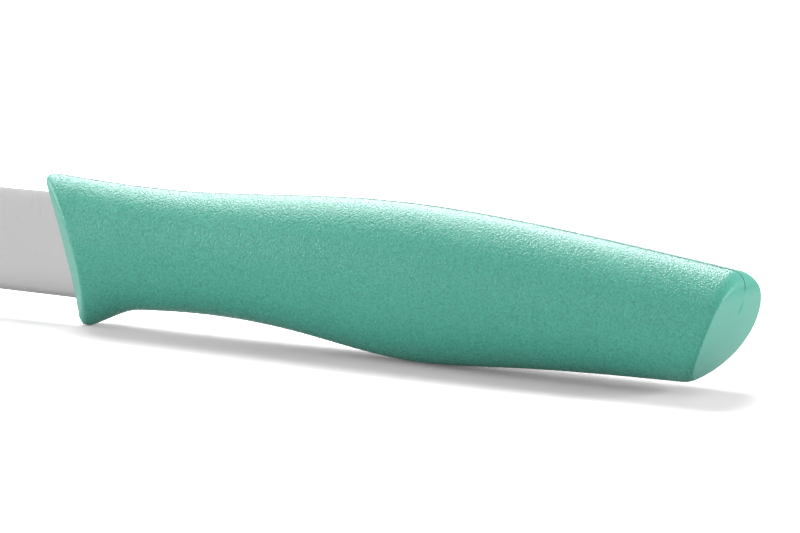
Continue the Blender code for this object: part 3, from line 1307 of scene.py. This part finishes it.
    def masks(self, heights: np.ndarray, side_end: int, front_end: int) -> dict[str, np.ndarray]:
        """Where the mould is eroded, and where the polished mould gets a painted sheen.

        The grain fades over the front's edge and the top of the butt, and stops at the butt's edge elsewhere.

        Args:
            heights: Z of the skin's points: those of its rings, then the front's, then the butt's.
            side_end: Number of points on the rings.
            front_end: Number of points on the rings and the front.

        Returns:
            The value of each mask at each point, from 0 to 1.
        """
        count, fade = self.ring_points, np.linspace(0.0, 1.0, self.round_steps + 1)[:, None]
        butt_start, butt_edge = side_end - len(fade) * count, side_end - count
        remains = 1 - self.grain_fade_rate * self.edge_values(0.0, 1.0, 0.0) * fade
        grain, polish = np.zeros((2, len(heights)), dtype=np.float32)
        grain[:butt_start] = 1.0
        grain[:len(fade) * count] = np.repeat(fade, count)
        grain[butt_start:butt_edge] = np.clip(remains, 0, 1)[:-1].ravel()
        # The front's land and the butt's face get a painted sheen, which fades away towards the top of the
        # butt.
        polish[:count] = 1.0
        polish[side_end:front_end] = 1.0
        butt = np.r_[butt_edge:side_end, front_end:len(heights)]
        polish[butt] = np.clip((heights[butt_edge] - heights[butt]) / self.painted_sheen_fade, 0, 1)
        return {"grain": grain, "polish": polish}

    def build_skin(self, plastic: bpy.types.Material) -> bpy.types.Object:
        """The handle's outside as one closed loft.

        Args:
            plastic: Its finish.

        Returns:
            The skin.
        """
        s, angle = self.shape, self.angles
        front = self.edge_values(self.front_edge_round, self.nose_round, self.guard_round)
        butt = self.edge_values(self.butt_edge_round, self.butt_top_round, self.heel_round)
        inset = self.edge_values(self.butt_inset_share, self.butt_top_inset_share, self.heel_inset_share)
        shares = (np.arange(1, self.side_rings) / self.side_rings) ** self.ring_crowding
        fore = self.rounded_edge(angle, 0.0, s.front_face, front, np.ones_like(angle))[::-1]
        aft = self.rounded_edge(angle, 1.0, s.butt_face, butt, inset)
        self.rings = fore + [self.side_ring(angle, share, front, butt) for share in shares] + aft
        points = [point for ring in self.rings for point in ring]
        faces = loft_faces(len(self.rings), self.ring_points)
        side_end = len(points)
        self.cap(points, faces, 0, s.front_face, self.land_spread)
        front_end = len(points)
        self.cap(points, faces, side_end - self.ring_points, s.butt_face, self.butt_spread)
        mesh = mesh_from("handle_skin", np.array(points) + self.placement.shift, faces)
        for name, values in self.masks(np.array(points)[:, 2], side_end, front_end).items():
            mesh.attributes.new(name, "FLOAT", "POINT").data.foreach_set("value", values)
        mesh.materials.append(plastic)
        face_out(mesh)
        shade(mesh, self.skin_sharp_degrees)
        return settle(new_piece("handle_skin", mesh), Slot.PLASTIC, Node.HANDLE)

    def parting_path(self) -> np.ndarray:
        """Middle of the skin from behind the nose along the back and over the top of the butt.

        Returns:
            The path's points, sunk a little into the skin, and wholly where the ridge ends.
        """
        back = np.array([ring[0] for ring in self.rings[self.round_steps:]])
        drop = np.linspace(back[-1][2], self.ridge_end, self.ridge_butt_points)[1:]
        butt = np.stack([self.shape.butt_face(np.zeros_like(drop), drop), np.zeros_like(drop), drop], axis=1)
        path = np.concatenate([back, butt])
        along = np.gradient(path, axis=0)
        along /= np.linalg.norm(along, axis=1, keepdims=True)
        outward = np.stack([-along[:, 2], np.zeros(len(path)), along[:, 0]], axis=1)
        sink, start = np.full(len(path), self.ridge_sink), self.ridge_rise_points
        sink[:start] += np.linspace(1, 0, start) * self.ridge_radius
        sink[-len(drop):] += np.linspace(0, 1, len(drop)) * self.ridge_radius
        return path - outward * sink[:, None]

    def ridge_tree(self) -> bpy.types.NodeTree:
        """Geometry nodes that sweep a fine round ridge along a path.

        Returns:
            The tree.
        """
        b = TreeBuilder.group("parting_ridge", TreeKind.GEOMETRY)
        path = b.takes("Geometry", SocketKind.GEOMETRY)
        radius = b.takes("Ridge radius", SocketKind.VALUE, self.ridge_radius)
        sides = b.takes("Ridge sides", SocketKind.COUNT, self.ridge_sides)
        spacing = b.takes("Point spacing", SocketKind.VALUE, self.ridge_spacing)
        material = b.takes("Plastic", SocketKind.MATERIAL)
        line = b.add("GeometryNodeMeshToCurve", {"Mesh": path})
        even = b.add("GeometryNodeResampleCurve", {"Curve": line.outputs[0], "Length": spacing},
                     mode="LENGTH")
        ring = b.add("GeometryNodeCurvePrimitiveCircle", {"Resolution": sides, "Radius": radius},
                     mode="RADIUS")
        swept = b.add("GeometryNodeCurveToMesh", {"Curve": even.outputs[0],
                                                  "Profile Curve": ring.outputs["Curve"],
                                                  "Fill Caps": True})
        real = b.add("GeometryNodeRealizeInstances", {"Geometry": swept.outputs[0]})
        finished = b.add("GeometryNodeSetMaterial", {"Geometry": real.outputs[0], "Material": material})
        b.gives("Geometry", SocketKind.GEOMETRY, finished.outputs[0])
        return b.tree

    def build_ridge(self, plastic: bpy.types.Material) -> bpy.types.Object:
        """The fine ridge on the skin where the halves of the mould met.

        Args:
            plastic: Its finish, darkened as painted shade.

        Returns:
            The ridge.
        """
        path = self.parting_path()
        edges = [(i, i + 1) for i in range(len(path) - 1)]
        host = new_piece("parting_path", mesh_from("parting_path", path + self.placement.shift, edges=edges))
        run_tree(host, self.ridge_tree(), {"Plastic": plastic})
        piece = freeze(host, "parting_ridge")
        face_out(piece.data)
        shade(piece.data, self.ridge_sharp_degrees)
        return settle(piece, Slot.PLASTIC)

    def build_gate_mark(self, plastic: bpy.types.Material) -> bpy.types.Object:
        """The sliver on the butt where the plastic entered the mould and was cut off.

        Args:
            plastic: Its finish.

        Returns:
            The mark.
        """
        count, rows = self.gate_points, len(self.gate_profile)
        turn = 2 * math.pi * np.arange(count) / count
        points = []
        for spread, lift in self.gate_profile:
            half = spread * self.gate_length / 2
            z = self.gate_height + half * signed_power(np.sin(turn), self.gate_bluntness)
            y = spread * self.gate_width / 2 * np.cos(turn) + self.gate_lean * (z - self.gate_height)
            y -= self.gate_lean * self.gate_length / 2
            points.extend(np.stack([self.shape.butt_face(y, z) + lift * self.gate_depth, y, z], axis=1))
        ends = [tuple(range(count)), tuple(range((rows - 1) * count, rows * count))]
        mesh = mesh_from("gate_mark", np.array(points) + self.placement.shift, loft_faces(rows, count) + ends)
        face_out(mesh)
        shade(mesh, self.gate_sharp_degrees)
        mesh.materials.append(plastic)
        return settle(new_piece("gate_mark", mesh), Slot.PLASTIC)


# ---------------------------------------------------------------- the studio


class LampLight(Enum):
    """Which light a lamp gives."""

    BOTH = "soft light and highlights"
    SOFT_LIGHT = "soft light only"
    HIGHLIGHTS = "highlights only"


@dataclass(frozen=True)
class Softbox:
    """A rectangular lamp that looks at the knife.

    Attributes:
        name: The lamp's name.
        azimuth: Its direction round the knife in degrees, 0 from the front and 90 from the butt.
        elevation: Its height over the horizon in degrees.
        width: Its width.
        height: Its height.
        power: Its power in watts.
        gives: Which part of the picture it lights.
        distance: How far away it is.
    """

    name: str
    azimuth: float
    elevation: float
    width: float
    height: float
    power: float
    gives: LampLight = LampLight.BOTH
    distance: float = 0.90

    def build(self, target: Vector) -> bpy.types.Object:
        """Makes the lamp.

        Args:
            target: The point that it looks at.

        Returns:
            The lamp.
        """
        data = bpy.data.lights.new(self.name, "AREA")
        data.shape = "RECTANGLE"
        data.size, data.size_y, data.energy = self.width, self.height, self.power
        lamp = bpy.data.objects.new(self.name, data)
        a, e = math.radians(self.azimuth), math.radians(self.elevation)
        away = Vector((math.sin(a) * math.cos(e), -math.cos(a) * math.cos(e), math.sin(e)))
        lamp.location = target + away * self.distance
        lamp.rotation_euler = away.to_track_quat("Z", "Y").to_euler()
        lamp.visible_diffuse = self.gives is not LampLight.HIGHLIGHTS
        lamp.visible_glossy = self.gives is not LampLight.SOFT_LIGHT
        bpy.context.scene.collection.objects.link(lamp)
        return lamp


@dataclass
class Studio:
    """White table and surroundings, softboxes, and the camera.

    Attributes:
        target: The point that the lamps look at.
        lamps: The lamps.
        ambient: Strength of the even light from all round.
        table_bounce: How much of the light the table throws back.
        table_seen: How white the table is for the camera.
        table_mirrored: How white it is in the steel.
        table_half: Half of the table's width.
        camera_place: Where the camera stands.
        camera_tilt: Its tilt in degrees, 0 straight down and 90 level.
        camera_turn: Its turn round the upright in degrees.
        lens: Its focal length in millimetres.
        sensor_width: Width of its picture in millimetres.
        near: The nearest that it sees.
        far: The furthest that it sees.
    """

    target: Vector = field(default_factory=lambda: Vector((0.035, 0.0, 0.008)))

    # Each lamp's name, azimuth, elevation, width, height and power, and what it gives
    lamps: tuple[Softbox, ...] = (
        Softbox("left_back_softbox", 254.0, 48.5, 0.42, 0.24, 2.8, LampLight.HIGHLIGHTS),
        Softbox("back_softbox", 217.0, 42.5, 0.45, 0.20, 3.2, LampLight.HIGHLIGHTS),
        Softbox("low_back_softbox", 211.0, 22.0, 0.40, 0.12, 1.1, LampLight.HIGHLIGHTS),
        Softbox("sky_softbox", 220.0, 65.0, 0.60, 0.42, 5.8, LampLight.SOFT_LIGHT),
        Softbox("front_softbox", -16.0, 8.0, 1.10, 0.20, 2.8, LampLight.SOFT_LIGHT),
        Softbox("left_softbox", -80.0, 11.0, 0.50, 0.35, 2.8),
        Softbox("right_softbox", 110.0, 12.0, 0.50, 0.42, 5.2),
    )

    ambient: float = 0.175
    table_bounce: float = 0.62
    table_seen: float = 1.77
    table_mirrored: float = 0.63
    table_half: float = 0.8
    camera_place: Vector = field(default_factory=lambda: Vector((0.33510, -0.48236, 0.10912)))
    camera_tilt: float = 80.261
    camera_turn: float = 31.007
    lens: float = 195.16
    sensor_width: float = 36.0
    near: float = 0.01
    far: float = 50.0

    @staticmethod
    def ray_level(b: TreeBuilder, seen: float, mirrored: float, other: float) -> Field:
        """A level that depends on what looks at the background.

        Args:
            b: Builder of the material's or the world's tree.
            seen: Level for the camera.
            mirrored: Level in metal and glass.
            other: Level for the light that the background gives.

        Returns:
            The level.
        """
        path = b.add("ShaderNodeLightPath")
        camera = b.number(path, "Is Camera Ray")
        mirror = b.number(path, "Is Glossy Ray") + b.number(path, "Is Transmission Ray")
        return other + camera * (seen - other) + mirror.clamped() * (mirrored - other)

    def build_world(self) -> None:
        """Even soft light from all round, which camera, glossy and transmission rays see as white."""
        world = bpy.data.worlds.new("studio_air")
        world.use_nodes = True
        b = TreeBuilder(world.node_tree)
        strength = self.ray_level(b, 1.0, 1.0, self.ambient)
        b.feed(b.tree.nodes["Background"], {"Color": WHITE, "Strength": strength})
        bpy.context.scene.world = world

    def build_table(self) -> bpy.types.Object:
        """The white table, which takes the knife's shadow.

        Returns:
            The table.
        """
        r = self.table_half
        mesh = mesh_from("table", np.array([(-r, -r, 0), (r, -r, 0), (r, r, 0), (-r, r, 0)]), [(0, 1, 2, 3)])
        material = bpy.data.materials.new("white_table")
        material.use_nodes = True
        b = TreeBuilder(material.node_tree)
        b.tree.nodes.remove(b.tree.nodes["Principled BSDF"])
        white = self.ray_level(b, self.table_seen, self.table_mirrored, self.table_bounce)
        matt = b.add("ShaderNodeBsdfDiffuse", {"Color": b.join(white, white, white)})
        b.feed(b.tree.nodes["Material Output"], {"Surface": matt.outputs[0]})
        mesh.materials.append(material)
        table = new_piece("table", mesh)
        return table

    def build_camera(self) -> bpy.types.Object:
        """The camera at the photograph's viewing angle.

        Returns:
            The camera.
        """
        data = bpy.data.cameras.new("camera")
        data.sensor_fit, data.sensor_width, data.lens = "HORIZONTAL", self.sensor_width, self.lens
        data.clip_start, data.clip_end = self.near, self.far
        data.dof.use_dof = False
        camera = bpy.data.objects.new("camera", data)
        camera.location = self.camera_place
        camera.rotation_euler = (math.radians(self.camera_tilt), 0.0, math.radians(self.camera_turn))
        bpy.context.scene.collection.objects.link(camera)
        bpy.context.scene.camera = camera
        return camera

    def build(self) -> None:
        """Sets up the whole studio."""
        bpy.context.scene.view_settings.view_transform = "Standard"
        self.build_world()
        self.build_table()
        for lamp in self.lamps:
            lamp.build(self.target)
        self.build_camera()


# ---------------------------------------------------------------- the whole knife


def main() -> None:
    """Builds the knife and the studio in order."""
    logging.basicConfig(level=logging.INFO, format="%(message)s")
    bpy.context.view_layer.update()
    blade_shape, handle_shape = BladeShape(), HandleShape()
    placement = Placement.from_frame(blade_shape, handle_shape)
    plastic, shaded_seam = GRAINED_PLASTIC.build(), SHADED_SEAM_PLASTIC.build()
    satin, honed = SATIN_STEEL.build(), HONED_STEEL_PAINTED_LIGHTER.build()
    Blade(blade_shape, handle_shape, placement).build(satin, honed)
    handle = Handle(handle_shape, placement)
    handle.build_skin(plastic)
    handle.build_ridge(shaded_seam)
    handle.build_gate_mark(plastic)
    Studio().build()


if __name__ == "__main__":
    main()
